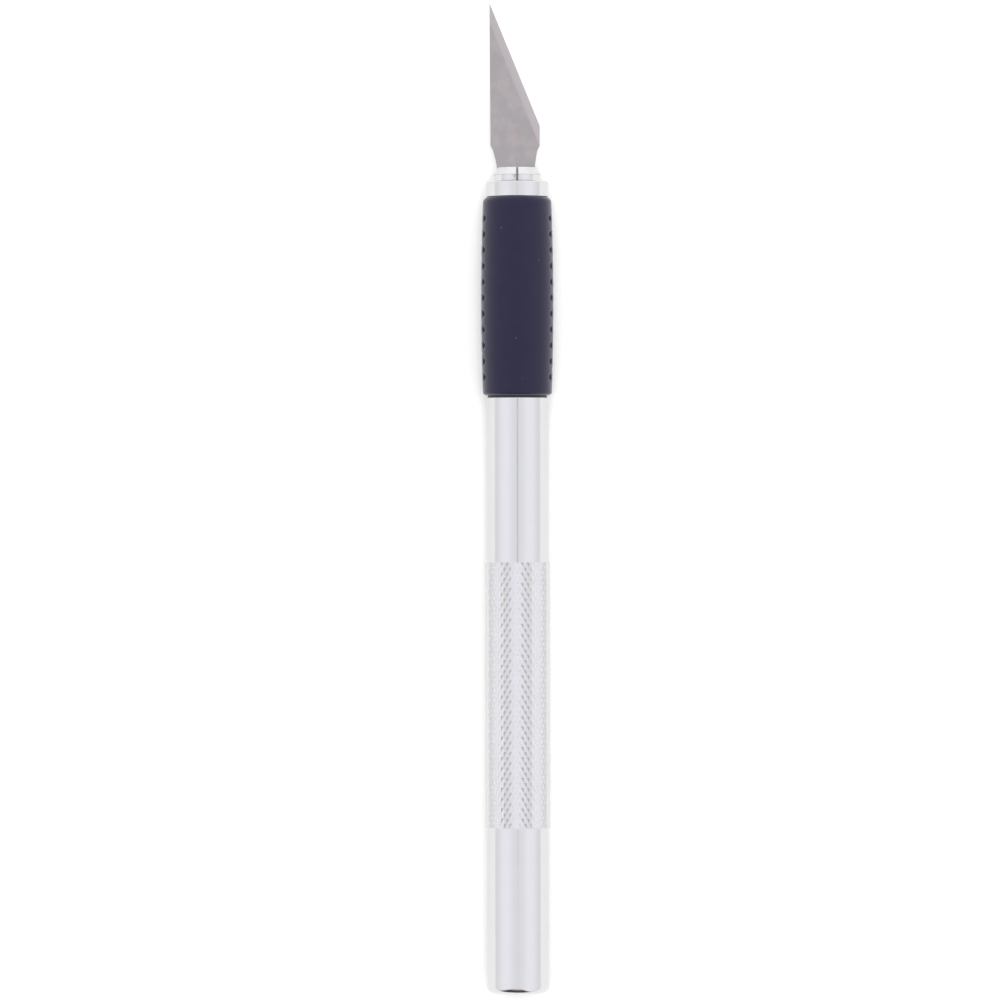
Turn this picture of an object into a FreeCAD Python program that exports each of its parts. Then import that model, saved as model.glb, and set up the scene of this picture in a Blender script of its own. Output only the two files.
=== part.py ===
"""Pen-style craft knife with a collet that the handle tightens, lying on its side.

The knife lies along Y, with its tail towards -Y and its blade tip towards +Y, and the blade is flat in
the plane of X and Y. The origin is on the surface that the knife lies on, under its middle.
Each piece is drawn with the knife's axis on the Y axis and the tail face at y = 0, so a y value is a
station: millimetres from the tail. place() then moves every piece into the row's frame.
"""

import FreeCAD, Part
import math
import os

# Stations along the knife, from the tail face.
TIP = 162.4
COLLET_FACE = 135.3
COLLET_WIDEST = 134.1
NOSE_FACE = 132.95
GRIP_FRONT = 130.5
GRIP_REAR = 98.0
HANDLE_FRONT = 97.6
KNURL_FRONT = 70.6
KNURL_REAR = 27.1

# Outer radii.
HANDLE_R = 5.2
KNURL_R = 5.3
NOSE_R = 5.15
SLEEVE_R = 4.2
SPIGOT_R = 3.5
COLLET_HEAD_R = 4.0
COLLET_BODY_R = 3.3
STEM_R = 2.5

# Rubber grip: a barrel, with the radius at each end and at its fullest station.
GRIP_REAR_R = 5.66
GRIP_FRONT_R = 5.58
GRIP_MID_R = 5.95
GRIP_FULLEST = 113.5
GRIP_REAR_ROUND = 0.5
GRIP_FRONT_ROUND = 1.0

# Dimples in each side of the grip, in rows along the knife. Every second row is staggered.
DIMPLE_PITCH = 2.6
DIMPLE_FIRST = 100.9
DIMPLES_IN_ROW = 11
DIMPLE_ROW_ANGLES = (-20, 0, 20)
DIMPLE_MOUTH_R = 0.55
DIMPLE_DEPTH = 0.35

# Running clearances between pieces that move on each other.
BORE_GAP = 0.05
SLOT_GAP = 0.03
END_GAP = 0.02

# Screw that draws the collet in: M5 x 0.7.
THREAD_PITCH = 0.7
THREAD_DEPTH = 0.4
THREAD_TURNS = 12
STEM_REAR = 79.5
NUT_REAR = 80.5
NUT_FRONT = 87.3
NUT_R = 3.4

# Front sleeve behind the grip, and the snap ring that holds the handle on it.
SPIGOT_REAR = 88.0
SNAP_STATION = 90.4
SNAP_WIDTH = 0.7
SNAP_OUTER_R = 3.8
SNAP_INNER_R = 3.3
SNAP_FLOOR_R = 2.95
SNAP_MOUTH_ANGLE = 24
COUNTERBORE_DEPTH = 10.0

# Collet.
CONE_HALF_ANGLE = 15.6
BODY_REAR = 115.0
BORE_STEP = 114.4
SLIT_WIDTH = 0.38
SLIT_REAR = 117.5
COLLET_FRONT_R = 3.35
FACE_BREAK_LENGTH = 0.25
FACE_BREAK_DEPTH = 0.6

# Key pin that stops the collet from turning in the sleeve.
KEY_STATION = 106.0
KEY_R = 0.5
KEY_TIP_R = 1.75
KEYWAY_FLOOR_R = 1.65
KEY_TRAVEL = 1.05
KEY_END_ROOM = 0.4

# Blade: outline across the knife (x) and along it, and the ground bevel beside the cutting edge.
BLADE_THICKNESS = 0.5
BLADE_REAR = 121.0
SPINE_X = -4.36
TIP_X = -4.52
HEEL_X = 3.72
HEEL_FRONT = 142.1
HEEL_REAR = 138.9
SHANK_LEFT_X = -3.1
SHANK_RIGHT_X = 2.8
SHANK_FRONT = 133.5
BEVEL_WIDTH = 1.25
EDGE_THICKNESS = 0.03
HOLE_STATION = 127.7
HOLE_LENGTH = 6.4
HOLE_WIDTH = 2.8

# Shoulders between the blade and its shank: a short step in, then a hollow curve to the shank.
STEP_INSET = 0.38
STEP_LENGTH = 0.7
SHOULDER_MID = 136.3
SHOULDER_LEFT_X = -3.5
SHOULDER_RIGHT_X = 3.02

# Small turned details.
PLUG_DEPTH = 4.0
PLUG_RECESS = 0.3
PLUG_ROUND = 0.3
TAIL_ROUND = 1.15
HANDLE_FRONT_ROUND = 0.15
WASHER_INSET = 0.35
CHAMFER = 0.2
NUT_LEAD = 0.3

AXIS_HEIGHT = GRIP_MID_R
AXIS = FreeCAD.Vector(0, 1, 0)
ORIGIN = FreeCAD.Vector(0, 0, 0)


def place(shape):
    """The shape moved from the drawing frame into the row's frame."""
    shape = shape.copy()
    shape.translate(FreeCAD.Vector(0, -TIP / 2, AXIS_HEIGHT))
    return shape


def profile_point(station, radius):
    return FreeCAD.Vector(0, station, radius)


def lines(points):
    """Straight edges through (station, radius) points."""
    corners = [profile_point(*p) for p in points]
    return [Part.LineSegment(a, b).toShape() for a, b in zip(corners, corners[1:])]


def turned(edges):
    """Solid of revolution about the knife's axis, from the edges of a closed outline."""
    face = Part.Face(Part.Wire(edges))
    return face.revolve(ORIGIN, AXIS, 360)


def turned_points(points):
    return turned(lines(points + points[:1]))


def ring(rear, front, inner_r, outer_r):
    """Plain hollow cylinder between two stations."""
    return turned_points([(rear, inner_r), (front, inner_r), (front, outer_r), (rear, outer_r)])


def rounded(shape, fillet, station, radius):
    """The shape with its circular edge at that station and radius rounded off."""
    found = [
        edge
        for edge in shape.Edges
        if isinstance(edge.Curve, Part.Circle)
        and abs(edge.Curve.Radius - radius) < 1e-3
        and abs(edge.Curve.Center.y - station) < 1e-3
    ]
    return shape.makeFillet(fillet, found)


def box(x, y, z):
    """Box between the two ends of each range."""
    corner = FreeCAD.Vector(x[0], y[0], z[0])
    return Part.makeBox(x[1] - x[0], y[1] - y[0], z[1] - z[0], corner)


def cone_r(station, gap=0.0):
    """Radius of the collet's clamping cone at a station, or of the seat around it with a gap."""
    slope = math.tan(math.radians(CONE_HALF_ANGLE))
    return COLLET_HEAD_R + gap - (COLLET_WIDEST - station) * slope


def cone_station(radius, gap=0.0):
    """Station at which the cone has a radius."""
    slope = math.tan(math.radians(CONE_HALF_ANGLE))
    return COLLET_WIDEST - (COLLET_HEAD_R + gap - radius) / slope


def handle_tube():
    """Tube with a knurled band, a counterbore for the sleeve's spigot and a groove for the snap ring."""
    outer = [
        (0, HANDLE_R),
        (KNURL_REAR, HANDLE_R),
        (KNURL_REAR, KNURL_R),
        (KNURL_FRONT, KNURL_R),
        (KNURL_FRONT, HANDLE_R),
        (HANDLE_FRONT, HANDLE_R),
    ]
    counterbore_r = SPIGOT_R + BORE_GAP
    groove_half = SNAP_WIDTH / 2 + BORE_GAP
    groove_r = SNAP_OUTER_R + 2 * BORE_GAP
    inner = [
        (HANDLE_FRONT, counterbore_r),
        (SNAP_STATION + groove_half, counterbore_r),
        (SNAP_STATION + groove_half, groove_r),
        (SNAP_STATION - groove_half, groove_r),
        (SNAP_STATION - groove_half, counterbore_r),
        (HANDLE_FRONT - COUNTERBORE_DEPTH, counterbore_r),
        (HANDLE_FRONT - COUNTERBORE_DEPTH, NUT_R),
        (0, NUT_R),
    ]
    tube = turned_points(outer + inner)
    tube = rounded(tube, TAIL_ROUND, 0, HANDLE_R)
    return rounded(tube, HANDLE_FRONT_ROUND, HANDLE_FRONT, HANDLE_R)


def end_plug():
    """Disc pressed into the tail of the tube."""
    plug = turned_points([(PLUG_RECESS, 0), (PLUG_DEPTH, 0), (PLUG_DEPTH, NUT_R), (PLUG_RECESS, NUT_R)])
    return rounded(plug, PLUG_ROUND, PLUG_RECESS, NUT_R)


def draw_nut():
    """Threaded bush pressed into the tube. It draws the collet's stem back when the handle is turned."""
    bore_r = STEM_R + SLOT_GAP
    return turned_points(
        [
            (NUT_REAR, bore_r),
            (NUT_FRONT - NUT_LEAD, bore_r),
            (NUT_FRONT, bore_r + NUT_LEAD),
            (NUT_FRONT, NUT_R),
            (NUT_REAR, NUT_R),
        ]
    )


def front_sleeve():
    """Nose ring with the collet's seat, the core under the rubber, and the spigot in the handle."""
    bore_r = COLLET_BODY_R + BORE_GAP
    stem_bore_r = STEM_R + BORE_GAP
    snap_half = SNAP_WIDTH / 2
    outer = [
        (SPIGOT_REAR, SPIGOT_R - CHAMFER),
        (SPIGOT_REAR + CHAMFER, SPIGOT_R),
        (SNAP_STATION - snap_half, SPIGOT_R),
        (SNAP_STATION - snap_half, SNAP_FLOOR_R),
        (SNAP_STATION + snap_half, SNAP_FLOOR_R),
        (SNAP_STATION + snap_half, SPIGOT_R),
        (GRIP_REAR, SPIGOT_R),
        (GRIP_REAR, SLEEVE_R),
        (GRIP_FRONT, SLEEVE_R),
        (GRIP_FRONT, NOSE_R),
        (NOSE_FACE - CHAMFER, NOSE_R),
        (NOSE_FACE, NOSE_R - CHAMFER),
    ]
    inner = [
        (NOSE_FACE, cone_r(NOSE_FACE, SLOT_GAP)),
        (cone_station(bore_r, SLOT_GAP), bore_r),
        (BORE_STEP, bore_r),
        (BORE_STEP, stem_bore_r),
        (SPIGOT_REAR, stem_bore_r),
    ]
    sleeve = turned_points(outer + inner)
    return sleeve.cut(key_cylinder(KEY_TIP_R, SLEEVE_R + BORE_GAP))


def key_cylinder(inner_r, outer_r):
    """Upright cylinder at the key's station, from one radius to another."""
    base = FreeCAD.Vector(0, KEY_STATION, inner_r)
    return Part.makeCylinder(KEY_R, outer_r - inner_r, base, FreeCAD.Vector(0, 0, 1))


def key_pin():
    """Pin pressed through the sleeve's wall, just below its surface, with its tip in the keyway."""
    return key_cylinder(KEY_TIP_R, SLEEVE_R - 2 * BORE_GAP)


def snap_ring():
    """Split ring half in the spigot's groove and half in the handle's."""
    half = SNAP_WIDTH / 2
    whole = ring(SNAP_STATION - half, SNAP_STATION + half, SNAP_INNER_R, SNAP_OUTER_R)
    mouth_half = SNAP_OUTER_R * math.sin(math.radians(SNAP_MOUTH_ANGLE / 2))
    mouth = box((-mouth_half, mouth_half), (SNAP_STATION - 1, SNAP_STATION + 1), (0, SNAP_OUTER_R + 1))
    return whole.cut(mouth)


def thrust_washer():
    """Washer between the sleeve's shoulder and the handle's front face."""
    return ring(HANDLE_FRONT + END_GAP, GRIP_REAR, SPIGOT_R, HANDLE_R - WASHER_INSET)


def grip_arc():
    """Edge that the grip's barrel is turned from."""
    ends = [(GRIP_REAR, GRIP_REAR_R), (GRIP_FULLEST, GRIP_MID_R), (GRIP_FRONT, GRIP_FRONT_R)]
    return Part.Arc(*[profile_point(*p) for p in ends]).toShape()


def grip_r(station):
    """Radius of the grip's barrel at a station."""
    circle = grip_arc().Curve
    across = station - circle.Center.y
    return circle.Center.z + math.sqrt(circle.Radius**2 - across**2)


def dimple(station, angle):
    """Ball that cuts one dimple. The angle is turned about the knife's axis, from +X towards +Z."""
    ball_r = (DIMPLE_MOUTH_R**2 + DIMPLE_DEPTH**2) / (2 * DIMPLE_DEPTH)
    reach = grip_r(station) + ball_r - DIMPLE_DEPTH
    turn = math.radians(angle)
    centre = FreeCAD.Vector(reach * math.cos(turn), station, reach * math.sin(turn))
    return Part.makeSphere(ball_r, centre)


def dimples():
    """All the dimples' balls, on both sides of the grip."""
    balls = []
    for side in (0, 180):
        for row, angle in enumerate(DIMPLE_ROW_ANGLES):
            staggered = row % 2
            first = DIMPLE_FIRST + staggered * DIMPLE_PITCH / 2
            for i in range(DIMPLES_IN_ROW - staggered):
                balls.append(dimple(first + i * DIMPLE_PITCH, side + angle))
    return balls


def rubber_grip():
    """Soft barrel over the sleeve's core, with rounded ends and dimpled sides."""
    outline = lines(
        [
            (GRIP_REAR, GRIP_REAR_R),
            (GRIP_REAR, SLEEVE_R),
            (GRIP_FRONT, SLEEVE_R),
            (GRIP_FRONT, GRIP_FRONT_R),
        ]
    )
    outline.append(grip_arc())
    grip = turned(outline)
    grip = rounded(grip, GRIP_REAR_ROUND, GRIP_REAR, GRIP_REAR_R)
    grip = rounded(grip, GRIP_FRONT_ROUND, GRIP_FRONT, GRIP_FRONT_R)
    return grip.cut(dimples())


def threaded_stem_outline():
    """(station, radius) points of the stem's thread, as rings a pitch apart."""
    points = []
    for turn in range(THREAD_TURNS):
        start = STEM_REAR + turn * THREAD_PITCH
        points.append((start, STEM_R - THREAD_DEPTH))
        points.append((start + THREAD_PITCH * 0.45, STEM_R))
        points.append((start + THREAD_PITCH * 0.55, STEM_R))
    end = STEM_REAR + THREAD_TURNS * THREAD_PITCH
    return points + [(end, STEM_R - THREAD_DEPTH), (end + THREAD_DEPTH, STEM_R)]


def collet():
    """Turned collet: a threaded stem, a body that two slits cut into jaws, and a conical head."""
    outline = [(STEM_REAR, 0)]
    outline += threaded_stem_outline()
    outline += [
        (BODY_REAR, STEM_R),
        (BODY_REAR, COLLET_BODY_R),
        (cone_station(COLLET_BODY_R), COLLET_BODY_R),
        (COLLET_WIDEST, COLLET_HEAD_R),
        (COLLET_FACE - FACE_BREAK_LENGTH, COLLET_FRONT_R),
        (COLLET_FACE, COLLET_FRONT_R - FACE_BREAK_DEPTH),
        (COLLET_FACE, 0),
    ]
    shape = turned_points(outline)
    reach = COLLET_HEAD_R + 1
    slot_half = BLADE_THICKNESS / 2 + SLOT_GAP
    blade_slot = box((-reach, reach), (BLADE_REAR - END_GAP, TIP), (-slot_half, slot_half))
    cross_slit = box((-SLIT_WIDTH / 2, SLIT_WIDTH / 2), (SLIT_REAR, TIP), (-reach, reach))
    key_half = KEY_R + BORE_GAP
    keyway = box(
        (-key_half, key_half),
        (KEY_STATION - KEY_R - KEY_TRAVEL - KEY_END_ROOM, KEY_STATION + KEY_R + KEY_END_ROOM),
        (KEYWAY_FLOOR_R, reach),
    )
    return shape.cut([blade_slot, cross_slit, keyway])


def blade_outline():
    """Closed wire of the blade in the plane of X and Y."""
    left_step = FreeCAD.Vector(SPINE_X + STEP_INSET, HEEL_REAR - STEP_LENGTH, 0)
    right_step = FreeCAD.Vector(HEEL_X - STEP_INSET, HEEL_REAR - STEP_LENGTH, 0)
    left_mid = FreeCAD.Vector(SHOULDER_LEFT_X, SHOULDER_MID, 0)
    right_mid = FreeCAD.Vector(SHOULDER_RIGHT_X, SHOULDER_MID, 0)
    left_shank = FreeCAD.Vector(SHANK_LEFT_X, SHANK_FRONT, 0)
    right_shank = FreeCAD.Vector(SHANK_RIGHT_X, SHANK_FRONT, 0)
    front = [
        left_step,
        FreeCAD.Vector(SPINE_X, HEEL_REAR, 0),
        FreeCAD.Vector(TIP_X, TIP, 0),
        FreeCAD.Vector(HEEL_X, HEEL_FRONT, 0),
        FreeCAD.Vector(HEEL_X, HEEL_REAR, 0),
        right_step,
    ]
    rear = [
        right_shank,
        FreeCAD.Vector(SHANK_RIGHT_X, BLADE_REAR, 0),
        FreeCAD.Vector(SHANK_LEFT_X, BLADE_REAR, 0),
        left_shank,
    ]
    edges = [Part.LineSegment(a, b).toShape() for a, b in zip(front, front[1:])]
    edges.append(Part.Arc(right_step, right_mid, right_shank).toShape())
    edges += [Part.LineSegment(a, b).toShape() for a, b in zip(rear, rear[1:])]
    edges.append(Part.Arc(left_shank, left_mid, left_step).toShape())
    return Part.Wire(edges)


def bevel_cutter(side):
    """Wedge that grinds one face of the blade along the cutting edge. Side is 1 above, -1 below."""
    tip = FreeCAD.Vector(TIP_X, TIP, 0)
    heel = FreeCAD.Vector(HEEL_X, HEEL_FRONT, 0)
    along = (heel - tip).normalize()
    outward = FreeCAD.Vector(-along.y, along.x, 0)
    upward = FreeCAD.Vector(0, 0, side)
    slope = (BLADE_THICKNESS - EDGE_THICKNESS) / 2 / BEVEL_WIDTH
    beside = 1.0
    beyond = 6.0
    start = tip - along * beyond
    inner = start - outward * (BEVEL_WIDTH + beside) + upward * (BLADE_THICKNESS / 2 + beside * slope)
    outer = start + outward * beside + upward * (EDGE_THICKNESS / 2 - beside * slope)
    corners = [inner, outer, outer + upward, inner + upward, inner]
    face = Part.Face(Part.makePolygon(corners))
    return face.extrude(along * ((heel - tip).Length + 2 * beyond))


def shank_hole():
    """Rounded slot through the blade's shank."""
    middle_x = (SHANK_LEFT_X + SHANK_RIGHT_X) / 2
    half_straight = (HOLE_LENGTH - HOLE_WIDTH) / 2
    radius = HOLE_WIDTH / 2
    ends = [HOLE_STATION - half_straight, HOLE_STATION + half_straight]
    slot = box((middle_x - radius, middle_x + radius), ends, (-1, 1))
    for station in ends:
        base = FreeCAD.Vector(middle_x, station, -1)
        slot = slot.fuse(Part.makeCylinder(radius, 2, base, FreeCAD.Vector(0, 0, 1)))
    return slot


def blade():
    """Angled blade: a straight spine, a straight cutting edge ground on both faces, and a shank."""
    flat = Part.Face(blade_outline())
    flat.translate(FreeCAD.Vector(0, 0, -BLADE_THICKNESS / 2))
    plate = flat.extrude(FreeCAD.Vector(0, 0, BLADE_THICKNESS))
    return plate.cut([bevel_cutter(1), bevel_cutter(-1), shank_hole()])


PIECES = {
    "blade": blade,
    "collet": collet,
    "front_sleeve": front_sleeve,
    "rubber_grip": rubber_grip,
    "key_pin": key_pin,
    "snap_ring": snap_ring,
    "thrust_washer": thrust_washer,
    "handle_tube": handle_tube,
    "draw_nut": draw_nut,
    "end_plug": end_plug,
}


def main():
    os.makedirs("parts", exist_ok=True)
    for name, build in PIECES.items():
        shape = place(build())
        shape.exportStep(f"parts/{name}.step")
        print(name, round(shape.Volume, 2), "mm3, solids:", len(shape.Solids), "valid:", shape.isValid())


main()
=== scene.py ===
"""Hobby craft knife on a pale floor in a soft white light tent, seen from straight above."""

import math

import bmesh
import bpy
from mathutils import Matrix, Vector


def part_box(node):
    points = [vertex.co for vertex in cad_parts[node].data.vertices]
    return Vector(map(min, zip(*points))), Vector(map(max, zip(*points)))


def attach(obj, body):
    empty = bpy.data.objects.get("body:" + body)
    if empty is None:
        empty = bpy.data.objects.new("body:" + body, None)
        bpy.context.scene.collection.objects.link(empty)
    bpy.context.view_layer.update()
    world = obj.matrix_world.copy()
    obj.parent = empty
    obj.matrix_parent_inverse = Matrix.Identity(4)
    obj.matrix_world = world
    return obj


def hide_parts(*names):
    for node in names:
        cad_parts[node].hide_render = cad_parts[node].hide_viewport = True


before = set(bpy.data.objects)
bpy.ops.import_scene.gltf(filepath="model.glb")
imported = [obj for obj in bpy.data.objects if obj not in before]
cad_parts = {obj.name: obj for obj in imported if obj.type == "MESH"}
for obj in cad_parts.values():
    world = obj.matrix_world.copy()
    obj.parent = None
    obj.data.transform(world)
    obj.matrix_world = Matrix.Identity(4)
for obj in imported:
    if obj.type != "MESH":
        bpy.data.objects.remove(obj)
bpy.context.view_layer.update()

# The knife's own measures: stations in millimetres from the tail, radii in millimetres from the axis.
MM = 0.001
tube_low, tube_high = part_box("handle_tube")
grip_low, grip_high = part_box("rubber_grip")
blade_low, blade_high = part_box("blade")
sleeve_low, sleeve_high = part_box("front_sleeve")
collet_low, collet_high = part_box("collet")
plug_low, plug_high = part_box("end_plug")
snap_low, snap_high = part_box("snap_ring")

TAIL_Y = tube_low.y
AXIS_Z = (tube_low.z + tube_high.z) / 2


def station(y):
    """Millimetres from the tail face, for a y in metres."""
    return (y - TAIL_Y) / MM


HANDLE_FRONT = station(tube_high.y)
GRIP_REAR = station(grip_low.y)
GRIP_FRONT = station(grip_high.y)
NOSE_FACE = station(sleeve_high.y)
SPIGOT_REAR = station(sleeve_low.y)
COLLET_REAR = station(collet_low.y)
COLLET_FACE = station(collet_high.y)
BLADE_REAR = station(blade_low.y)
TIP = station(blade_high.y)
PLUG_REAR = station(plug_low.y)
PLUG_FRONT = station(plug_high.y)
KNURL_R = (tube_high.x - tube_low.x) / 2 / MM
GRIP_MID_R = (grip_high.x - grip_low.x) / 2 / MM
NOSE_R = (sleeve_high.x - sleeve_low.x) / 2 / MM
COLLET_HEAD_R = (collet_high.x - collet_low.x) / 2 / MM
PLUG_R = (plug_high.x - plug_low.x) / 2 / MM

# Running clearances between pieces that move on each other.
BORE_GAP = 0.05
SLOT_GAP = 0.03

# Snap ring's groove, half in the handle and half in the sleeve's spigot.
SPIGOT_R = 3.5
GROOVE_REAR = station(snap_low.y) - BORE_GAP
GROOVE_FRONT = station(snap_high.y) + BORE_GAP
GROOVE_R = (snap_high.x - snap_low.x) / 2 / MM + 2 * BORE_GAP
GROOVE_FLOOR_R = 2.95

# Handle. Its knurl is diamonds between two sets of crossing grooves.
HANDLE_R = KNURL_R - 0.1
TAIL_ROUND = 1.1
KNURL_REAR = 27.1
KNURL_FRONT = 70.6
KNURL_STARTS = 34
KNURL_TURNS = 26
KNURL_FLANK = math.radians(20.5)
KNURL_TOP = 0.2
KNURL_WIDTH = 2 * math.pi * KNURL_R / KNURL_STARTS
KNURL_LENGTH = (KNURL_FRONT - KNURL_REAR) / KNURL_TURNS
KNURL_PITCH = KNURL_WIDTH * math.cos(math.atan2(KNURL_WIDTH, KNURL_LENGTH))
KNURL_DEPTH = (1 - KNURL_TOP) * KNURL_PITCH / 2 * math.tan(KNURL_FLANK)
TUBE_COLUMNS = 4 * KNURL_STARTS
COUNTERBORE_R = SPIGOT_R + BORE_GAP
COUNTERBORE_DEPTH = 10.0

# Grip.
SLEEVE_R = 4.2
GRIP_REAR_R = 5.66
GRIP_FRONT_R = 5.58
GRIP_FULLEST = 113.5
GRIP_REAR_ROUND = 0.5
GRIP_FRONT_ROUND = 1.0
GRIP_ROWS = 330
GRIP_COLUMNS = 360
DIMPLE_PITCH = 2.6
DIMPLE_FIRST = 100.9
DIMPLES_IN_ROW = 11
DIMPLE_ROW_ANGLES = (-20, 0, 20)
DIMPLE_MOUTH_R = 0.55
DIMPLE_DEPTH = 0.35
RIM_START = 0.85
RIM_END = 1.3
BOWL_FALL = 0.85

# Collet, nose and the key's slot.
COLLET_WIDEST = 134.1
CONE_SLOPE = math.tan(math.radians(15.6))
COLLET_BODY_R = 3.3
COLLET_FRONT_R = 3.35
COLLET_NECK_R = 3.66
MOUTH_DEPTH = 0.75
STEM_R = 2.5
THREAD_PITCH = 0.7
THREAD_DEPTH = 0.4
THREAD_TURNS = 12
BODY_REAR = 115.0
BORE_STEP = 114.4
SLIT_WIDTH = 0.38
SLIT_REAR = 117.5
KEYWAY_REAR = 104.05
KEYWAY_FRONT = 106.9
KEYWAY_FLOOR_R = 1.65
KEYWAY_HALF = 0.55

# Blade.
BLADE_THICKNESS = (blade_high.z - blade_low.z) / MM
SLOT_WIDTH = BLADE_THICKNESS + 2 * SLOT_GAP
EDGE_THICKNESS = 0.03
SPINE_X = -4.36
TIP_X = blade_low.x / MM
HEEL_X = blade_high.x / MM
HEEL_FRONT = 142.1
HEEL_REAR = 138.9
BEVEL_WIDTH = 1.25
SHANK_LEFT_X = -3.1
SHANK_RIGHT_X = 2.8
SHANK_FRONT = 133.5
HOLE_X = -0.15
HOLE_STATION = 127.7
HOLE_R = 1.4
HOLE_STRAIGHT = 3.6

# Shoulders between the blade and its shank: a short step in, then a hollow curve to the shank.
STEP_INSET = 0.38
STEP_LENGTH = 0.7
SHOULDER_MID = 136.3
SHOULDER_LEFT_X = -3.5
SHOULDER_RIGHT_X = 3.02


# ---------------------------------------------------------------- mesh helpers


def place(across, along, up):
    """A point given in millimetres about the knife's axis, in the row's frame in metres."""
    return Vector((across * MM, TAIL_Y + along * MM, AXIS_Z + up * MM))


def add_object(name, mesh):
    obj = bpy.data.objects.new(name, mesh)
    bpy.context.scene.collection.objects.link(obj)
    return obj


def solid_object(name, bm):
    """New object with the bmesh's faces, all facing outwards."""
    bmesh.ops.recalc_face_normals(bm, faces=bm.faces)
    mesh = bpy.data.meshes.new(name)
    bm.to_mesh(mesh)
    bm.free()
    return add_object(name, mesh)


def circle_through(a, b, c):
    """Centre and radius of the circle through three points of a plane: (x, y, radius)."""
    (x1, y1), (x2, y2), (x3, y3) = a, b, c
    d = 2 * (x1 * (y2 - y3) + x2 * (y3 - y1) + x3 * (y1 - y2))
    q1, q2, q3 = (x * x + y * y for x, y in (a, b, c))
    cx = (q1 * (y2 - y3) + q2 * (y3 - y1) + q3 * (y1 - y2)) / d
    cy = (q1 * (x3 - x2) + q2 * (x1 - x3) + q3 * (x2 - x1)) / d
    return cx, cy, math.hypot(x1 - cx, y1 - cy)


def rounded_outline(points, steps=4):
    """(station, radius) points from (station, radius, rounding) corners of a closed outline."""
    result = []
    count = len(points)
    for i, (s, r, rounding) in enumerate(points):
        here = Vector((s, r))
        if rounding <= 0:
            result.append((s, r))
            continue
        before = Vector(points[i - 1][:2]) - here
        after = Vector(points[(i + 1) % count][:2]) - here
        half_angle = before.angle(after) / 2
        reach = rounding / math.tan(half_angle)
        start = here + before.normalized() * reach
        end = here + after.normalized() * reach
        centre = here + (before.normalized() + after.normalized()).normalized() * (
            rounding / math.sin(half_angle)
        )
        for step in range(steps + 1):
            share = step / steps
            arm_a = start - centre
            arm_b = end - centre
            turn = arm_a.angle(arm_b)
            arm = (arm_a * math.sin((1 - share) * turn) + arm_b * math.sin(share * turn)) / math.sin(turn)
            result.append(tuple(centre + arm))
    return result


def add_ring(bm, s, r, columns, radius_change=None):
    """Ring of vertices about the axis, or a single one where the radius is 0."""
    if r < 1e-6:
        return [bm.verts.new(place(0, s, 0))]
    ring = []
    for c in range(columns):
        angle = 2 * math.pi * c / columns
        radius = r + (radius_change(s, r, angle) if radius_change else 0)
        ring.append(bm.verts.new(place(radius * math.cos(angle), s, radius * math.sin(angle))))
    return ring


def bridge(bm, a, b):
    """Faces between two rings, where one may have several vertices for each one of the other."""
    if len(a) < len(b):
        a, b = b, a
    per = len(a) // len(b)
    if len(b) == 1:
        for c in range(len(a)):
            bm.faces.new((a[c], a[(c + 1) % len(a)], b[0]))
        return
    for c in range(len(b)):
        face = [b[(c + 1) % len(b)], b[c]]
        face += [a[(c * per + k) % len(a)] for k in range(per + 1)]
        bm.faces.new(face)


def smooth_object(name, bm):
    obj = solid_object(name, bm)
    obj.data.shade_smooth()
    return obj


def lathe(name, outline, columns=128, radius_change=None):
    """Turns a closed outline of (station, radius) points about the knife's axis."""
    bm = bmesh.new()
    rings = [add_ring(bm, s, r, columns, radius_change) for s, r in outline]
    for a, b in zip(rings, rings[1:] + rings[:1]):
        if len(a) > 1 or len(b) > 1:
            bridge(bm, a, b)
    return smooth_object(name, bm)


def box_mesh(name, x, s, z):
    """Box between the two ends of each range, across, along and up, in millimetres about the axis."""
    bm = bmesh.new()
    bmesh.ops.create_cube(bm, size=1)
    for v in bm.verts:
        v.co = place(*(pair[0] if c < 0 else pair[1] for c, pair in zip(v.co, (x, s, z))))
    mesh = bpy.data.meshes.new(name)
    bm.to_mesh(mesh)
    bm.free()
    return add_object(name, mesh)


def cut(obj, cutters):
    """The object with the cutters' volumes taken out of its mesh."""
    for cutter in cutters:
        modifier = obj.modifiers.new("cut", "BOOLEAN")
        modifier.operation = "DIFFERENCE"
        modifier.solver = "EXACT"
        modifier.object = cutter
    depsgraph = bpy.context.evaluated_depsgraph_get()
    mesh = bpy.data.meshes.new_from_object(obj.evaluated_get(depsgraph))
    obj.modifiers.clear()
    obj.data = mesh
    for cutter in cutters:
        bpy.data.objects.remove(cutter)
    return obj


def soften_edges(obj, width, angle=40, segments=2):
    """Rounds the mesh's sharp edges by a width in millimetres, and keeps its flats looking flat."""
    bevel = obj.modifiers.new("edge_round", "BEVEL")
    bevel.width = width * MM
    bevel.segments = segments
    bevel.limit_method = "ANGLE"
    bevel.angle_limit = math.radians(angle)
    flat_shading(obj)


def flat_shading(obj):
    """Normals weighted by face area, so that small roundings don't bend the shading of long faces."""
    obj.data.shade_smooth()
    weighted = obj.modifiers.new("weighted", "WEIGHTED_NORMAL")
    weighted.mode = "FACE_AREA"
    weighted.weight = 100
    weighted.keep_sharp = True


def finish_piece(obj, body, material, node):
    """Gives a piece its material and its body, and hides the CAD node that it stands for."""
    obj.data.materials.clear()
    obj.data.materials.append(material)
    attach(obj, body)
    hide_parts(node)


# ---------------------------------------------------------------- material helpers


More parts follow.
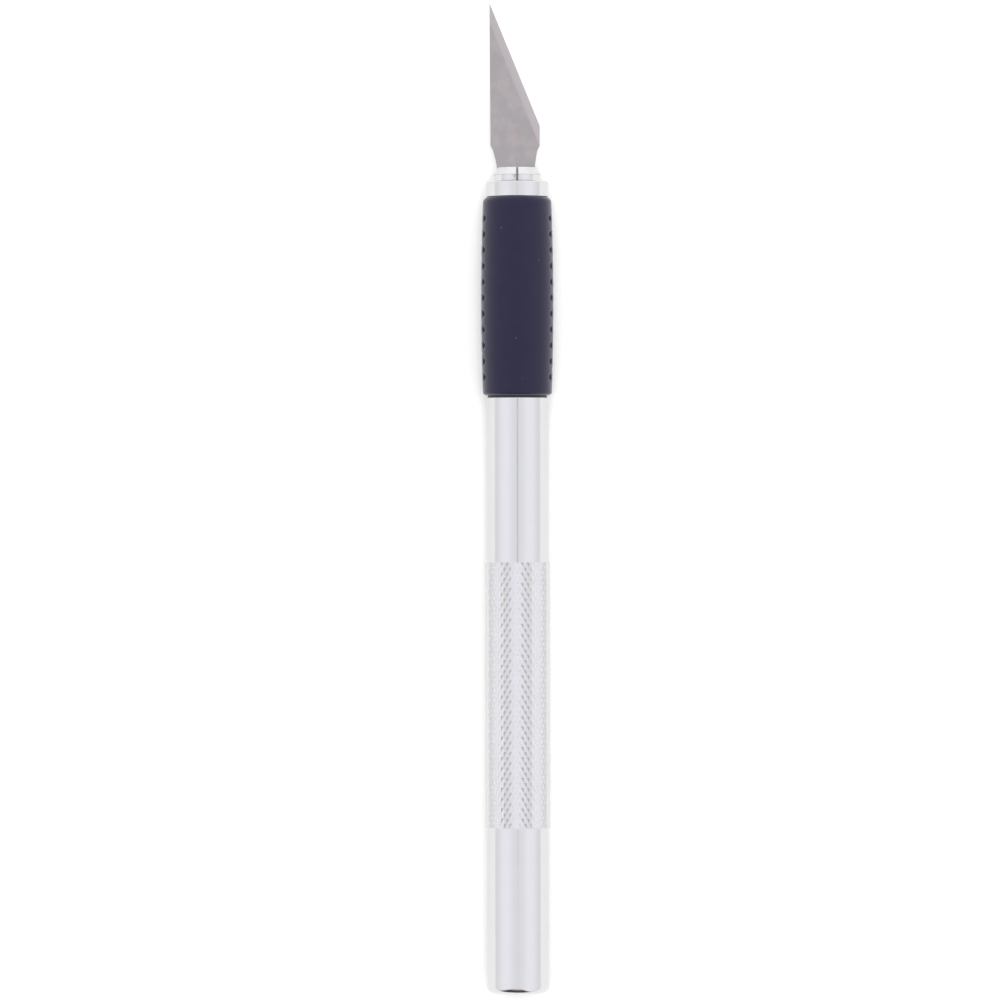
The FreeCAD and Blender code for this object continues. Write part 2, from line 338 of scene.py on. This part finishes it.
class Nodes:
    """A small layer over a node tree: makes nodes and links them by what is passed in."""

    def __init__(self, tree):
        self.tree = tree
        tree.nodes.clear()

    def make(self, kind, settings=None, **inputs):
        node = self.tree.nodes.new(kind)
        for key, value in (settings or {}).items():
            setattr(node, key, value)
        for key, value in inputs.items():
            self.feed(node.inputs[key.replace("_", " ")], value)
        return node

    def feed(self, socket, value):
        if isinstance(value, bpy.types.NodeSocket):
            self.tree.links.new(value, socket)
        else:
            socket.default_value = value

    def math(self, operation, a, b=0.0, c=0.0, clamp=False):
        node = self.tree.nodes.new("ShaderNodeMath")
        node.operation = operation
        node.use_clamp = clamp
        for socket, value in zip(node.inputs, (a, b, c)):
            self.feed(socket, value)
        return node.outputs[0]

    def smooth(self, value, low, high, to_low=0.0, to_high=1.0):
        """Smooth step of a value between two ends."""
        node = self.tree.nodes.new("ShaderNodeMapRange")
        node.interpolation_type = "SMOOTHSTEP"
        for socket, given in zip(node.inputs, (value, low, high, to_low, to_high)):
            self.feed(socket, given)
        return node.outputs[0]

    def mix(self, share, a, b):
        node = self.tree.nodes.new("ShaderNodeMix")
        node.data_type = "RGBA"
        self.feed(node.inputs["Factor"], share)
        self.feed(node.inputs[6], a)
        self.feed(node.inputs[7], b)
        return node.outputs[2]

    def noise(self, where, scale, detail=2.0, roughness=0.5):
        node = self.make("ShaderNodeTexNoise", Vector=where, Scale=scale, Detail=detail, Roughness=roughness)
        return node.outputs[0]

    def scaled(self, where, factors):
        node = self.make("ShaderNodeMapping", Vector=where, Scale=factors)
        return node.outputs[0]


def material(name, base, metallic=0.0, roughness=0.5, **sockets):
    """New material. Returns it, its node helper, its shader and the position in millimetres."""
    mat = bpy.data.materials.new(name)
    mat.use_nodes = True
    nodes = Nodes(mat.node_tree)
    shader = nodes.make("ShaderNodeBsdfPrincipled", Base_Color=(*base, 1), Metallic=metallic)
    shader.inputs["Roughness"].default_value = roughness
    for key, value in sockets.items():
        shader.inputs[key.replace("_", " ")].default_value = value
    output = nodes.make("ShaderNodeOutputMaterial")
    mat.node_tree.links.new(shader.outputs[0], output.inputs[0])
    geometry = nodes.make("ShaderNodeTexCoord").outputs["Object"]
    where = nodes.scaled(geometry, (1 / MM,) * 3)
    return mat, nodes, shader, where


def bump(nodes, shader, height, distance, strength=1.0):
    node = nodes.make("ShaderNodeBump", Height=height, Distance=distance * MM, Strength=strength)
    nodes.feed(shader.inputs["Normal"], node.outputs[0])


# ---------------------------------------------------------------- materials


def aluminium_material():
    mat, n, shader, where = material("bright_aluminium", (0.6, 0.6, 0.61), metallic=1.0, roughness=0.12)
    turning = n.noise(n.scaled(where, (0.15, 9.0, 0.15)), 1.0, 3.0)
    cloud = n.noise(where, 0.35, 3.0)
    shade = n.math("MULTIPLY_ADD", cloud, 0.5, n.math("MULTIPLY", turning, 0.3))
    n.feed(shader.inputs["Base Color"], n.mix(shade, (0.62, 0.62, 0.622, 1), (0.58, 0.58, 0.583, 1)))
    polish = n.smooth(cloud, 0.3, 0.75, 0.09, 0.15)
    n.feed(shader.inputs["Roughness"], n.math("MULTIPLY_ADD", knurled_band(n, where), 0.03, polish))
    bump(n, shader, turning, 0.0015, 0.5)
    return mat


def knurled_band(n, where):
    """1 on the knurled part of the handle and 0 elsewhere, for its duller metal."""
    along = n.make("ShaderNodeSeparateXYZ", Vector=where).outputs["Y"]
    rear, front = (place(0, s, 0).y / MM for s in (KNURL_REAR, KNURL_FRONT))
    behind_front = n.smooth(along, front, front + 0.02, 1.0, 0.0)
    return n.math("MULTIPLY", n.smooth(along, rear - 0.02, rear), behind_front)


def rubber_material():
    mat, n, shader, where = material(
        "soft_rubber",
        (0.016, 0.016, 0.04),
        roughness=0.5,
        Specular_IOR_Level=0.2,
        Sheen_Weight=0.4,
        Sheen_Roughness=0.4,
    )
    grain = n.noise(where, 14.0, 3.0, 0.6)
    cloud = n.noise(where, 0.5, 4.0)
    base = n.mix(cloud, (0.011, 0.0105, 0.03, 1), (0.016, 0.0145, 0.038, 1))
    lint = n.make("ShaderNodeTexVoronoi", Vector=n.scaled(where, (0.8, 0.6, 0.8)), Scale=1.0)
    near = n.smooth(lint.outputs["Distance"], 0.04, 0.09, 1.0, 0.0)
    chosen = n.make("ShaderNodeSeparateXYZ", Vector=lint.outputs["Color"]).outputs["X"]
    speck = n.math("MULTIPLY", near, n.smooth(chosen, 0.55, 0.95, 0.0, 0.5))
    n.feed(shader.inputs["Base Color"], n.mix(speck, base, (0.25, 0.24, 0.27, 1)))
    n.feed(shader.inputs["Roughness"], n.smooth(grain, 0.3, 0.7, 0.5, 0.64))
    bump(n, shader, grain, 0.012, 0.6)
    return mat


def blade_material():
    mat, n, shader, where = material("blade_steel", (0.6, 0.58, 0.57), metallic=1.0, roughness=0.33)
    patch = n.noise(where, 0.33, 4.0, 0.6)
    stain = n.noise(n.scaled(where, (1.2, 0.6, 1.0)), 0.8, 3.0)
    lines = n.noise(n.scaled(where, (7.0, 0.25, 1.0)), 1.0, 2.0)
    base = n.mix(n.smooth(patch, 0.4, 0.62), (0.36, 0.338, 0.34, 1), (0.41, 0.37, 0.365, 1))
    base = n.mix(n.smooth(stain, 0.45, 0.7, 0.0, 0.7), base, (0.36, 0.355, 0.36, 1))
    ground = ground_band(n, where)
    base = n.mix(n.math("MULTIPLY", ground, 0.8), base, (0.45, 0.42, 0.425, 1))
    n.feed(shader.inputs["Base Color"], base)
    n.feed(shader.inputs["Roughness"], n.smooth(lines, 0.3, 0.7, 0.28, 0.4))
    bump(n, shader, lines, 0.002, 0.5)
    return mat


def ground_band(n, where):
    """1 on the ground bevel beside the cutting edge and 0 on the blade's flats."""
    tip, _, _, outward = edge_line()
    direction = (outward.x, outward.y, 0)
    offset = n.make("ShaderNodeVectorMath", {"operation": "DOT_PRODUCT"})
    n.feed(offset.inputs[0], where)
    n.feed(offset.inputs[1], direction)
    inner = place(tip.x, tip.y, 0).dot(Vector(direction)) / MM - BEVEL_WIDTH
    return n.smooth(offset.outputs["Value"], inner - 0.04, inner + 0.08)


def steel_material():
    mat, n, shader, where = material("spring_steel", (0.5, 0.5, 0.52), metallic=1.0, roughness=0.3)
    n.feed(shader.inputs["Roughness"], n.smooth(n.noise(where, 3.0), 0.3, 0.7, 0.22, 0.4))
    return mat


def brass_material():
    mat, n, shader, where = material("turned_brass", (0.8, 0.6, 0.3), metallic=1.0, roughness=0.25)
    rings = n.noise(n.scaled(where, (0.2, 8.0, 0.2)), 1.0, 2.0)
    n.feed(shader.inputs["Base Color"], n.mix(rings, (0.82, 0.63, 0.33, 1), (0.72, 0.53, 0.26, 1)))
    bump(n, shader, rings, 0.002, 0.5)
    return mat


def plastic_material():
    mat, n, shader, where = material("black_plastic", (0.015, 0.015, 0.017), roughness=0.5)
    grain = n.noise(where, 9.0, 3.0)
    n.feed(shader.inputs["Base Color"], n.mix(grain, (0.012, 0.012, 0.013, 1), (0.024, 0.024, 0.026, 1)))
    bump(n, shader, grain, 0.006, 0.5)
    return mat


# ---------------------------------------------------------------- pieces


def knurl_point(across, along, height):
    """Point of the knurl, in half diamonds round the tube and along it."""
    angle = math.pi * across / KNURL_STARTS
    r = KNURL_R - KNURL_DEPTH * (1 - height)
    s = KNURL_REAR + along * KNURL_LENGTH / 2
    return place(r * math.cos(angle), s, r * math.sin(angle))


def add_knurl(bm):
    """Diamonds with flat tops between the two sets of crossing grooves. Returns its rear and front rings."""
    around = 2 * KNURL_STARTS
    rows = 2 * KNURL_TURNS
    crossings = {
        (i, j): bm.verts.new(knurl_point(i, j, 0))
        for j in range(rows + 1)
        for i in range(around)
        if (i + j) % 2 == 0
    }
    for j in range(rows + 1):
        steps = [(a, b) for a, b in ((1, 0), (0, 1), (-1, 0), (0, -1)) if 0 <= j + b <= rows]
        for i in range(around):
            if (i + j) % 2 == 0:
                continue
            base = [crossings[(i + a) % around, j + b] for a, b in steps]
            top = [bm.verts.new(knurl_point(i + a * KNURL_TOP, j + b * KNURL_TOP, 1)) for a, b in steps]
            bm.faces.new(top)
            for k in range(len(steps)):
                after = (k + 1) % len(steps)
                bm.faces.new((base[k], base[after], top[after], top[k]))
    return [[crossings[i, end] for i in range(0, around, 2)] for end in (0, rows)]


def handle_tube():
    """The long tube: rounded tail, plain tail, diamond knurl, plain front, and its bores."""
    counterbore = HANDLE_FRONT - COUNTERBORE_DEPTH
    outline = [
        (counterbore, PLUG_R, 0),
        (0.0, PLUG_R, 0.15),
        (0.0, HANDLE_R, TAIL_ROUND),
        (KNURL_REAR, HANDLE_R, 0),
        (KNURL_FRONT, HANDLE_R, 0),
        (HANDLE_FRONT, HANDLE_R, 0.15),
        (HANDLE_FRONT, COUNTERBORE_R, 0.1),
        (GROOVE_FRONT, COUNTERBORE_R, 0),
        (GROOVE_FRONT, GROOVE_R, 0),
        (GROOVE_REAR, GROOVE_R, 0),
        (GROOVE_REAR, COUNTERBORE_R, 0),
        (counterbore, COUNTERBORE_R, 0),
    ]
    bm = bmesh.new()
    points = rounded_outline(outline, 10)
    rings = [add_ring(bm, s, r, TUBE_COLUMNS) for s, r in points]
    rear, front = add_knurl(bm)
    for (s, r), a, b in zip(points, rings, rings[1:] + rings[:1]):
        if (s, r) == (KNURL_REAR, HANDLE_R):
            bridge(bm, a, rear)
            bridge(bm, front, b)
        else:
            bridge(bm, a, b)
    obj = smooth_object("handle_tube_knurled", bm)
    obj.data.set_sharp_from_angle(angle=math.radians(18))
    flat_shading(obj)
    return obj


def grip_radius(s):
    """Radius of the grip's barrel: the circle through its two ends and its fullest station."""
    ends = ((GRIP_REAR, GRIP_REAR_R), (GRIP_FULLEST, GRIP_MID_R), (GRIP_FRONT, GRIP_FRONT_R))
    cx, cy, radius = circle_through(*ends)
    return cy + math.sqrt(radius**2 - (s - cx) ** 2)


def dimple_places():
    """(station, angle in radians) of every dimple on the grip."""
    places = []
    for side in (0, 180):
        for row, angle in enumerate(DIMPLE_ROW_ANGLES):
            staggered = row % 2
            for i in range(DIMPLES_IN_ROW - staggered):
                s = DIMPLE_FIRST + (i + staggered / 2) * DIMPLE_PITCH
                places.append((s, math.radians(side + angle)))
    return places


DIMPLES = dimple_places()


def dimple_depth(s, r, angle):
    """How far the grip's surface sinks at a place, for the dimples there."""
    if r <= SLEEVE_R:
        return 0.0
    sink = 0.0
    for at, turn in DIMPLES:
        if abs(s - at) > RIM_END * DIMPLE_MOUTH_R:
            continue
        around = (angle - turn + math.pi) % (2 * math.pi) - math.pi
        distance = math.hypot(s - at, around * r)
        sink = max(sink, bowl(distance / DIMPLE_MOUTH_R))
    return -sink * DIMPLE_DEPTH


def bowl(share):
    """Depth of a moulded dimple, from 1 in the middle to 0 just past its softly rounded rim."""
    if share < RIM_START:
        return 1 - BOWL_FALL * share**2
    rim = max(0.0, (RIM_END - share) / (RIM_END - RIM_START))
    return (1 - BOWL_FALL * RIM_START**2) * rim**2


def rubber_grip():
    """Soft barrel with rounded ends and rows of dimples in its sides."""
    outline = [(GRIP_REAR, SLEEVE_R, 0), (GRIP_REAR, GRIP_REAR_R, GRIP_REAR_ROUND)]
    length = GRIP_FRONT - GRIP_REAR
    for i in range(1, GRIP_ROWS):
        s = GRIP_REAR + length * i / GRIP_ROWS
        if GRIP_REAR + GRIP_REAR_ROUND * 1.2 < s < GRIP_FRONT - GRIP_FRONT_ROUND * 1.2:
            outline.append((s, grip_radius(s), 0))
    outline += [(GRIP_FRONT, GRIP_FRONT_R, GRIP_FRONT_ROUND), (GRIP_FRONT, SLEEVE_R, 0)]
    obj = lathe("soft_grip", rounded_outline(outline, 6), GRIP_COLUMNS, dimple_depth)
    flat_shading(obj)
    return obj


def cone_r(s):
    """Radius of the collet's clamping cone at a station."""
    return COLLET_HEAD_R - (COLLET_WIDEST - s) * CONE_SLOPE


def front_sleeve():
    """Nose ring with its seat, the core under the grip and the spigot in the handle."""
    bore_r = COLLET_BODY_R + BORE_GAP
    seat_end = COLLET_WIDEST - (COLLET_HEAD_R + SLOT_GAP - bore_r) / CONE_SLOPE
    mouth_r = COLLET_NECK_R + SLOT_GAP
    stem_bore_r = STEM_R + BORE_GAP
    outline = [
        (SPIGOT_REAR, SPIGOT_R, 0.2),
        (GROOVE_REAR, SPIGOT_R, 0),
        (GROOVE_REAR, GROOVE_FLOOR_R, 0),
        (GROOVE_FRONT, GROOVE_FLOOR_R, 0),
        (GROOVE_FRONT, SPIGOT_R, 0),
        (GRIP_REAR, SPIGOT_R, 0),
        (GRIP_REAR, SLEEVE_R, 0),
        (GRIP_FRONT, SLEEVE_R, 0),
        (GRIP_FRONT, NOSE_R, 0.1),
        (NOSE_FACE, NOSE_R, 0.2),
        (NOSE_FACE, mouth_r, 0.03),
        (NOSE_FACE - MOUTH_DEPTH, mouth_r, 0),
        (seat_end, bore_r, 0),
        (BORE_STEP, bore_r, 0),
        (BORE_STEP, stem_bore_r, 0),
        (SPIGOT_REAR, stem_bore_r, 0),
    ]
    obj = lathe("nose_and_sleeve", rounded_outline(outline))
    flat_shading(obj)
    return obj


def thread_outline():
    """(station, radius, rounding) points of the stem's thread, as rings a pitch apart."""
    points = []
    for turn in range(THREAD_TURNS):
        start = COLLET_REAR + THREAD_PITCH * turn
        points.append((start, STEM_R - THREAD_DEPTH, 0))
        points.append((start + 0.45 * THREAD_PITCH, STEM_R, 0))
        points.append((start + 0.55 * THREAD_PITCH, STEM_R, 0))
    end = COLLET_REAR + THREAD_PITCH * THREAD_TURNS
    return points + [(end, STEM_R - THREAD_DEPTH, 0), (end + THREAD_DEPTH, STEM_R, 0)]


def collet():
    """Slit collet with its conical head and threaded stem."""
    cone_start = COLLET_WIDEST - (COLLET_HEAD_R - COLLET_BODY_R) / CONE_SLOPE
    neck_rear = NOSE_FACE - MOUTH_DEPTH - 0.05
    outline = [(COLLET_REAR, 0, 0)]
    outline += thread_outline()
    outline += [
        (BODY_REAR, STEM_R, 0),
        (BODY_REAR, COLLET_BODY_R, 0.1),
        (cone_start, COLLET_BODY_R, 0),
        (neck_rear, cone_r(neck_rear), 0),
        (neck_rear + 0.3, COLLET_NECK_R, 0.05),
        (COLLET_WIDEST - 0.02, COLLET_NECK_R, 0),
        (COLLET_WIDEST, COLLET_HEAD_R, 0),
        (COLLET_FACE - 0.35, COLLET_FRONT_R, 0.1),
        (COLLET_FACE, COLLET_FRONT_R - 0.15, 0.05),
        (COLLET_FACE, 0, 0),
    ]
    obj = lathe("collet_chuck", rounded_outline(outline, 3), columns=120)
    reach = COLLET_HEAD_R + 1
    slot = box_mesh("slot", (-reach, reach), (BLADE_REAR - 0.02, TIP), (-SLOT_WIDTH / 2, SLOT_WIDTH / 2))
    slit = box_mesh("slit", (-SLIT_WIDTH / 2, SLIT_WIDTH / 2), (SLIT_REAR, TIP), (-reach, reach))
    keyway_length = (KEYWAY_REAR, KEYWAY_FRONT)
    keyway = box_mesh("keyway", (-KEYWAY_HALF, KEYWAY_HALF), keyway_length, (KEYWAY_FLOOR_R, reach))
    cut(obj, [slot, slit, keyway])
    soften_edges(obj, 0.04, angle=50)
    return obj


def end_plug():
    outline = [
        (PLUG_REAR, 0, 0),
        (PLUG_REAR, PLUG_R, 0.3),
        (PLUG_FRONT, PLUG_R, 0),
        (PLUG_FRONT, 0, 0),
    ]
    obj = lathe("tail_plug", rounded_outline(outline), columns=96)
    flat_shading(obj)
    return obj


def arc_points(a, b, c, steps=10):
    """Points on the circle through a, b and c, from a to c."""
    cx, cy, radius = circle_through(a, b, c)
    start = math.atan2(a[1] - cy, a[0] - cx)
    turn = (math.atan2(c[1] - cy, c[0] - cx) - start + math.pi) % (2 * math.pi) - math.pi
    angles = [start + turn * i / steps for i in range(steps + 1)]
    return [(cx + radius * math.cos(angle), cy + radius * math.sin(angle)) for angle in angles]


def prism(name, outline, low, high):
    """Upright prism from (across, along) points, between two heights about the axis."""
    bm = bmesh.new()
    bottom = [bm.verts.new(place(x, s, low)) for x, s in outline]
    top = [bm.verts.new(place(x, s, high)) for x, s in outline]
    bm.faces.new(bottom)
    bm.faces.new(top)
    bridge(bm, bottom, top)
    return solid_object(name, bm)


def edge_line():
    """Ends of the cutting edge, the direction along it and the one out of the blade."""
    tip = Vector((TIP_X, TIP))
    heel = Vector((HEEL_X, HEEL_FRONT))
    along = (heel - tip).normalized()
    return tip, heel, along, Vector((-along.y, along.x))


def bevel_wedge(side):
    """Wedge that grinds one face of the blade beside its cutting edge."""
    tip, heel, along, outward = edge_line()
    beside = 1.0
    beyond = 6.0
    slope = (BLADE_THICKNESS - EDGE_THICKNESS) / 2 / BEVEL_WIDTH
    profile = [
        (-BEVEL_WIDTH - beside, BLADE_THICKNESS / 2 + beside * slope),
        (beside, EDGE_THICKNESS / 2 - beside * slope),
        (beside, 1.5),
        (-BEVEL_WIDTH - beside, 1.5),
    ]
    bm = bmesh.new()
    rings = []
    for start in (tip - along * beyond, heel + along * beyond):
        spots = [(start + outward * out, side * up) for out, up in profile]
        rings.append([bm.verts.new(place(at.x, at.y, up)) for at, up in spots])
        bm.faces.new(rings[-1])
    bridge(bm, *rings)
    return solid_object("wedge", bm)


def slot_outline():
    """Round-ended long hole in the blade's shank."""
    points = []
    for side, turn in ((1, 0), (-1, math.pi)):
        centre = HOLE_STATION + side * HOLE_STRAIGHT / 2
        for i in range(13):
            angle = turn + math.pi * i / 12
            points.append((HOLE_X + HOLE_R * math.cos(angle), centre + HOLE_R * math.sin(angle)))
    return points


def blade():
    """Angled blade with a straight spine, a ground cutting edge, hollow shoulders and a slotted shank."""
    right_step = (HEEL_X - STEP_INSET, HEEL_REAR - STEP_LENGTH)
    left_step = (SPINE_X + STEP_INSET, HEEL_REAR - STEP_LENGTH)
    outline = [(SPINE_X, HEEL_REAR), (TIP_X, TIP), (HEEL_X, HEEL_FRONT), (HEEL_X, HEEL_REAR)]
    outline += arc_points(right_step, (SHOULDER_RIGHT_X, SHOULDER_MID), (SHANK_RIGHT_X, SHANK_FRONT))
    outline += [(SHANK_RIGHT_X, BLADE_REAR), (SHANK_LEFT_X, BLADE_REAR)]
    outline += arc_points((SHANK_LEFT_X, SHANK_FRONT), (SHOULDER_LEFT_X, SHOULDER_MID), left_step)
    obj = prism("craft_blade", outline, -BLADE_THICKNESS / 2, BLADE_THICKNESS / 2)
    cut(obj, [bevel_wedge(1), bevel_wedge(-1), prism("hole", slot_outline(), -1, 1)])
    soften_edges(obj, 0.03, angle=60)
    return obj


# ---------------------------------------------------------------- stage


def floor():
    bm = bmesh.new()
    bmesh.ops.create_circle(bm, cap_ends=True, segments=96, radius=6.0)
    mesh = bpy.data.meshes.new("floor")
    bm.to_mesh(mesh)
    bm.free()
    obj = add_object("floor", mesh)
    obj.location.z = grip_low.z
    mat, n, shader, where = material("pale_floor", (0.97, 0.975, 0.94), roughness=0.9)
    shader.inputs["Specular IOR Level"].default_value = 0.0
    obj.data.materials.append(mat)


# Tent: its colours from the zenith down to each side, by degrees off the zenith across the knife.
TENT_STRENGTH = 1.45
TENT_STOPS = (
    (0, 0.79, 0.79, 0.825),
    (13, 0.80, 0.80, 0.835),
    (22, 0.82, 0.82, 0.865),
    (34, 0.90, 0.89, 0.96),
    (56, 0.90, 0.89, 0.96),
    (70, 0.82, 0.815, 0.86),
    (86, 0.72, 0.725, 0.74),
    (180, 0.85, 0.85, 0.85),
)
CAMERA_HOLE = (0.5, 0.5, 0.52, 1)
BRIGHT_FRONT = (0.99, 0.99, 1.0, 1)
OPENING_TOP = (0.54, 0.52, 0.52, 1)
OPENING = (0.09, 0.065, 0.06, 1)


def side_ramp(n, x, z):
    """Colour of the tent by the angle off the zenith across the knife."""
    across = n.math("DIVIDE", n.math("ARCTAN2", n.math("ABSOLUTE", x), z), math.pi)
    ramp = n.make("ShaderNodeValToRGB", Fac=across)
    ramp.color_ramp.interpolation = "B_SPLINE"
    elements = ramp.color_ramp.elements
    for i, (degrees, *colour) in enumerate(TENT_STOPS):
        element = elements[i] if i < 2 else elements.new(degrees / 180)
        element.position = degrees / 180
        element.color = (*colour, 1)
    return ramp.outputs[0]


def opening_share(n, x, y, off_top):
    """1 in the tent's dark opening behind the tail and 0 outside it."""
    azimuth = n.math("ARCTAN2", x, n.math("MULTIPLY", y, -1.0))
    left = n.smooth(azimuth, math.radians(-54), math.radians(-42))
    right = n.smooth(azimuth, math.radians(22), math.radians(34), 1.0, 0.0)
    low = n.smooth(off_top, math.radians(14), math.radians(20))
    return n.math("MULTIPLY", n.math("MULTIPLY", left, right), low)


def tent():
    """White light tent as the world, with a dim camera hole at the top and a dark opening behind the tail."""
    world = bpy.data.worlds.new("tent")
    bpy.context.scene.world = world
    world.use_nodes = True
    n = Nodes(world.node_tree)
    direction = n.make("ShaderNodeTexCoord").outputs["Generated"]
    x, y, z = n.make("ShaderNodeSeparateXYZ", Vector=direction).outputs
    off_top = n.math("ARCCOSINE", z)
    outside_hole = n.smooth(off_top, math.radians(1.4), math.radians(3.4))
    colour = n.mix(outside_hole, CAMERA_HOLE, side_ramp(n, x, z))
    colour = n.mix(n.smooth(y, 0.35, 0.8), colour, BRIGHT_FRONT)
    deep = n.smooth(off_top, math.radians(30), math.radians(46))
    colour = n.mix(opening_share(n, x, y, off_top), colour, n.mix(deep, OPENING_TOP, OPENING))
    background = n.make("ShaderNodeBackground", Color=colour, Strength=TENT_STRENGTH)
    output = n.make("ShaderNodeOutputWorld")
    world.node_tree.links.new(background.outputs[0], output.inputs[0])


def top_light():
    """Wide soft light straight above that brightens the floor and doesn't show in the metal."""
    light = bpy.data.lights.new("top_light", "AREA")
    light.shape = "DISK"
    light.size = 0.5
    light.energy = 5.6
    obj = bpy.data.objects.new("top_light", light)
    obj.location = (0, 0, 1.3)
    obj.visible_glossy = False
    bpy.context.scene.collection.objects.link(obj)


def camera():
    """Camera straight above, with the knife upright in the picture."""
    data = bpy.data.cameras.new("camera")
    data.sensor_width = 36
    data.lens = 241
    obj = bpy.data.objects.new("camera", data)
    picture_width = 0.164
    distance = picture_width * data.lens / data.sensor_width
    obj.location = (-0.00287, TAIL_Y + 80.8 * MM, AXIS_Z + distance)
    obj.rotation_euler = (0, 0, math.radians(-0.069))
    data.clip_end = 20
    bpy.context.scene.collection.objects.link(obj)
    bpy.context.scene.camera = obj


def main():
    camera()
    tent()
    top_light()
    floor()
    bpy.context.scene.view_settings.view_transform = "Standard"
    aluminium = aluminium_material()
    rubber = rubber_material()
    steel = blade_material()
    finish_piece(handle_tube(), "handle", aluminium, "handle_tube")
    finish_piece(end_plug(), "handle", aluminium, "end_plug")
    finish_piece(front_sleeve(), "front_grip", aluminium, "front_sleeve")
    finish_piece(collet(), "collet", aluminium, "collet")
    finish_piece(rubber_grip(), "front_grip", rubber, "rubber_grip")
    finish_piece(blade(), "blade", steel, "blade")
    hidden = {
        "key_pin": steel_material(),
        "snap_ring": steel_material(),
        "draw_nut": brass_material(),
        "thrust_washer": plastic_material(),
    }
    for node, mat in hidden.items():
        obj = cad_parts[node]
        obj.data.materials.clear()
        obj.data.materials.append(mat)


main()
